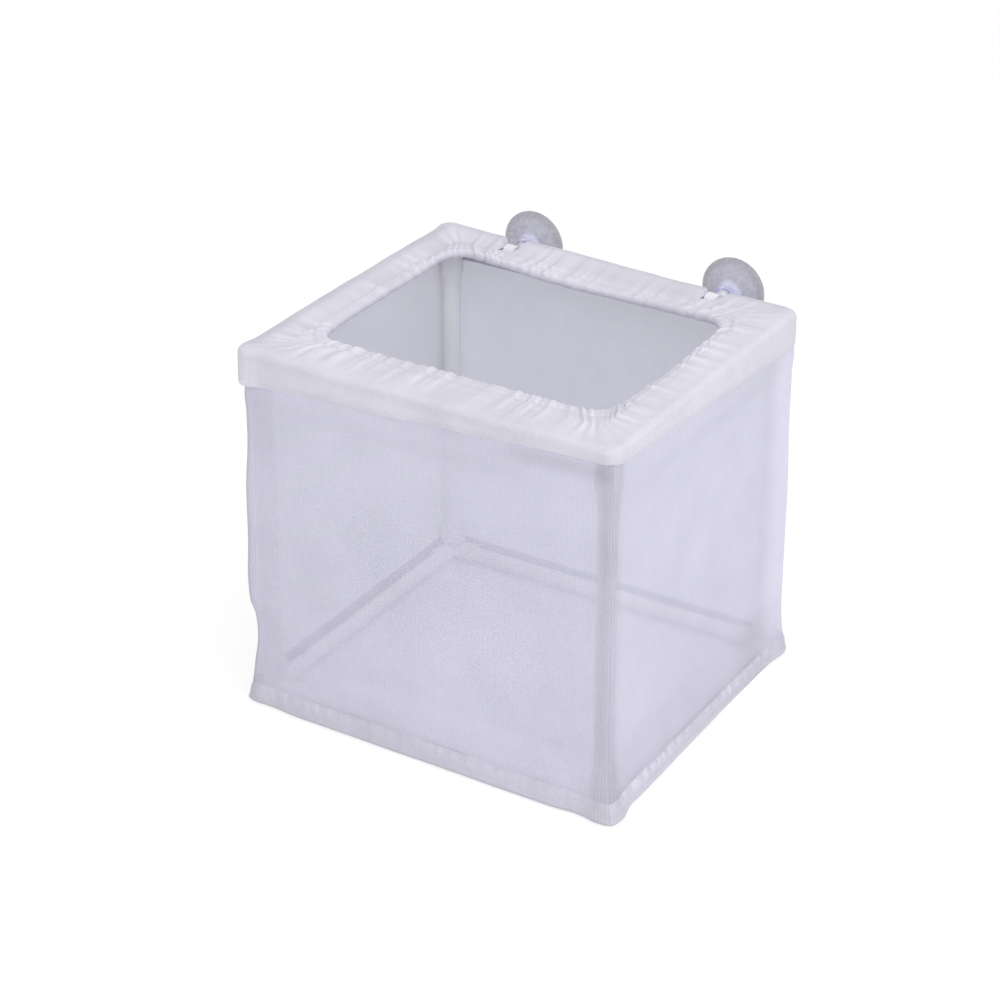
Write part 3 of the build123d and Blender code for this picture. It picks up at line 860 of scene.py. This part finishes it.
            # Round the elastic, from the top over the mouth's edge and back under the collar
            share = (v - top_rows) / (1 - top_rows)
            angle = math.pi / 2 - share * 1.45 * math.pi
            swell = sizes.hem_radius + 0.4 * pleat * gather * (1 - 0.5 * share)
            swell += 0.2 * MM * noise.noise(edge * 500 + Vector((0, 0, share * 3 + 8)))
            point = rim + inward * swell * math.cos(angle)
            point.z = hem_z + swell * math.sin(angle) + 0.3 * MM * gather * (1 - share) + raised
            # Painted highlight on the pleats round the hem
            return point, around, 0.08 + share * 0.009, 0.25 + 0.65 * gather

        def cut_slits(mesh):
            """Open the collar round each clip, as far as the clip sweeps round the rod."""
            half_width, sweep = 2.75 * MM, 8.2 * MM
            for x in [clip + edge for clip in CLIPS for edge in (-half_width, half_width)]:
                near = []
                for face in mesh.faces:
                    middle = face.calc_center_median()
                    if abs(middle.x - x) < 3 * MM and middle.y > BACK_ROD.y - 9 * MM:
                        near.append(face)
                parts = dict.fromkeys(part for face in near for part in (*face.edges, *face.verts))
                bmesh.ops.bisect_plane(mesh, geom=near + list(parts), plane_co=(x, 0, 0),
                                       plane_no=(1, 0, 0), dist=1e-7)
            gone = []
            for face in mesh.faces:
                middle = face.calc_center_median()
                beside = min(abs(middle.x - clip) for clip in CLIPS)
                reach = math.hypot(middle.y - BACK_ROD.y, middle.z - BACK_ROD.z)
                if beside < half_width and middle.y > 0 and reach < sweep:
                    gone.append(face)
            bmesh.ops.delete(mesh, geom=gone, context="FACES")

        collar = grid_piece("gathered_collar", sizes.columns, 60, place, closed=True, cut=cut_slits)
        dress(collar, cloth, "collar_mesh", "collar_front", "collar_back", "collar_left", "collar_right")

        def core(u, v):
            """The elastic follows the middle of the hem."""
            side, run, span = along_sides(u, spans)
            rim, inward = rim_point(side, run, span)
            angle = 2 * math.pi * v
            point = rim + inward * 0.9 * MM * math.cos(angle)
            point.z = hem_z - 0.9 * MM * math.sin(angle)
            point.z += sizes.corner_rise * hem_rise(side, (run + span) / (2 * span))
            return point, u * total, 5.7 * MM * v, 0.0

        elastic = grid_piece("mouth_band", 480, 12, core, closed=True)
        # A rubber core under a braid of polyester, ribbed every half millimetre, drawn twice as coarse
        braid = spun_fibre("braided_elastic", finishes.elastic, "Cloth", 320, 0.6, 0.82, 0.1 * MM, 0.75)
        dress(elastic, braid, "elastic", "mouth_elastic")
        return {"FINISHED"}


class BREEDINGNET_OT_frame_plastics(bpy.types.Operator):
    """Finish the rods, connectors and clips"""

    bl_idname = "breedingnet.frame_plastics"
    bl_label = "Frame and clips"

    def execute(self, context):
        finishes = context.scene.finishes
        # Draw marks run along each rod, so there is one finish for each direction
        rods = {}
        for axis in "xyz":
            stretch = [0.06 if axis == other else 1 for other in "xyz"]
            rods[axis] = moulded(f"extruded_polypropylene_{axis}", finishes.rod, 0.42, 0.5, stretch)
        kinds = {
            "post": rods["z"],
            "connector": moulded("moulded_polypropylene", finishes.connector, 0.38, 0.35),
            "clip": moulded("glossy_polypropylene", finishes.clip, 0.26, 0.4),
        }
        for name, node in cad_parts.items():
            kinds["rod"] = rods["x" if name.endswith(("front", "back")) else "y"]
            finish = kinds.get(name.split("_")[0])
            for held in node.material_slots if finish else ():
                held.material = finish
        return {"FINISHED"}


class BREEDINGNET_OT_cups(bpy.types.Operator):
    """Finish the suction cups"""

    bl_idname = "breedingnet.cups"
    bl_label = "Suction cups"

    def execute(self, context):
        vinyl = clear_vinyl(context.scene.finishes.cup)
        for name in ("suction_cup_left", "suction_cup_right"):
            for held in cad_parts[name].material_slots:
                held.material = vinyl
        return {"FINISHED"}


class BREEDINGNET_OT_studio(bpy.types.Operator):
    """Set up the pale floor, the studio light and the camera"""

    bl_idname = "breedingnet.studio"
    bl_label = "Studio"

    def execute(self, context):
        scene, studio = context.scene, context.scene.studio
        mesh = bmesh.new()
        bmesh.ops.create_grid(mesh, x_segments=1, y_segments=1, size=4)
        floor = new_piece("studio_floor", mesh, smooth_faces=False)
        floor.data.materials.append(self.floor_paint())
        world = bpy.data.worlds.new("studio")
        world.use_nodes = True
        tree = world.node_tree
        tree.nodes.clear()
        seen = self.seen_directly(tree)
        sky = add_node(tree, "Background", {"Color": (1, 1, 1, 1), "Strength": studio.sky})
        white = add_node(tree, "Background", {"Color": (1, 1, 1, 1), "Strength": 1.0})
        mixed = add_node(tree, "MixShader", links={0: seen, 1: sky, 2: white})
        add_node(tree, "OutputWorld", links={0: mixed})
        scene.world = world
        for name, place, size, watts in (
            ("key_lamp", (1.5, -0.4, 0.8), 1.2, studio.key),
            ("fill_lamp", (-0.5, -1.6, 0.6), 1.2, studio.fill),
            ("near_lamp", (0.8, -1.15, 0.95), 0.8, studio.near),
            ("top_lamp", (0.05, 0.0, 1.3), 0.6, studio.top),
        ):
            lamp = bpy.data.lights.new(name, "AREA")
            lamp.size, lamp.energy = size, watts
            holder = bpy.data.objects.new(name, lamp)
            scene.collection.objects.link(holder)
            holder.location = place
            aim = Vector((0, 0, 0.08)) - Vector(place)
            holder.rotation_euler = aim.to_track_quat("-Z", "Y").to_euler()
        camera = bpy.data.objects.new("camera", bpy.data.cameras.new("camera"))
        camera.data.lens, camera.data.sensor_width = studio.focal_length, 36
        scene.collection.objects.link(camera)
        target = Vector((-9.58 * MM, -2.24 * MM, 80.83 * MM))
        level = math.cos(studio.elevation)
        back = Vector((math.sin(studio.azimuth) * level, -math.cos(studio.azimuth) * level,
                       math.sin(studio.elevation)))
        camera.location = target + back * studio.distance
        camera.rotation_euler = (-back).to_track_quat("-Z", "Y").to_euler()
        scene.camera = camera
        scene.view_settings.view_transform = "Standard"
        return {"FINISHED"}

    def seen_directly(self, tree):
        """1 for rays that the camera, a gloss or a clear surface sends out, and 0 for the rest."""
        path = add_node(tree, "LightPath")
        either = add_node(tree, "Math", {"operation": "MAXIMUM"},
                          {0: path.outputs["Is Camera Ray"], 1: path.outputs["Is Glossy Ray"]})
        return add_node(tree, "Math", {"operation": "MAXIMUM"},
                        {0: either, 1: path.outputs["Is Transmission Ray"]}).outputs[0]

    def floor_paint(self):
        """Matt white backdrop paper, lifted to plain white where it is seen directly, shadows kept."""
        material = bpy.data.materials.new("backdrop_paper")
        material.use_nodes = True
        tree = material.node_tree
        tree.nodes.clear()
        seen = self.seen_directly(tree)
        paper = add_node(tree, "BsdfDiffuse", {"Color": (0.8, 0.8, 0.8, 1)})
        pale = add_node(tree, "BsdfDiffuse", {"Color": (0.4, 0.4, 0.4, 1)})
        lift = add_node(tree, "Emission", {"Color": (1, 1, 1, 1), "Strength": 0.68})
        lifted = add_node(tree, "AddShader", links={0: pale, 1: lift})
        mixed = add_node(tree, "MixShader", links={0: seen, 1: paper, 2: lifted})
        add_node(tree, "OutputMaterial", links={0: mixed})
        return material


class BREEDINGNET_PT_panel(bpy.types.Panel):
    """Lists the steps that dress the net"""

    bl_idname = "BREEDINGNET_PT_panel"
    bl_label = "Breeding Net"
    bl_space_type = "VIEW_3D"
    bl_region_type = "UI"
    bl_category = "Breeding Net"

    def draw(self, context):
        for operator in OPERATORS:
            self.layout.operator(operator.bl_idname)


OPERATORS = (
    BREEDINGNET_OT_bag_walls,
    BREEDINGNET_OT_bag_floor,
    BREEDINGNET_OT_post_sleeves,
    BREEDINGNET_OT_binding,
    BREEDINGNET_OT_collar,
    BREEDINGNET_OT_frame_plastics,
    BREEDINGNET_OT_cups,
    BREEDINGNET_OT_studio,
)
GROUPS = {
    "bag_sizes": BagSizes,
    "collar_sizes": CollarSizes,
    "finishes": Finishes,
    "studio": StudioSettings,
}


def register():
    for group in GROUPS.values():
        bpy.utils.register_class(group)
    for name, group in GROUPS.items():
        setattr(bpy.types.Scene, name, bpy.props.PointerProperty(type=group))
    for operator in OPERATORS:
        bpy.utils.register_class(operator)
    bpy.utils.register_class(BREEDINGNET_PT_panel)


def unregister():
    bpy.utils.unregister_class(BREEDINGNET_PT_panel)
    for operator in reversed(OPERATORS):
        bpy.utils.unregister_class(operator)
    for name in GROUPS:
        delattr(bpy.types.Scene, name)
    for group in reversed(list(GROUPS.values())):
        bpy.utils.unregister_class(group)


def main():
    register()
    for operator in OPERATORS:
        getattr(bpy.ops.breedingnet, operator.bl_idname.split(".")[1])()


if __name__ == "__main__":
    main()
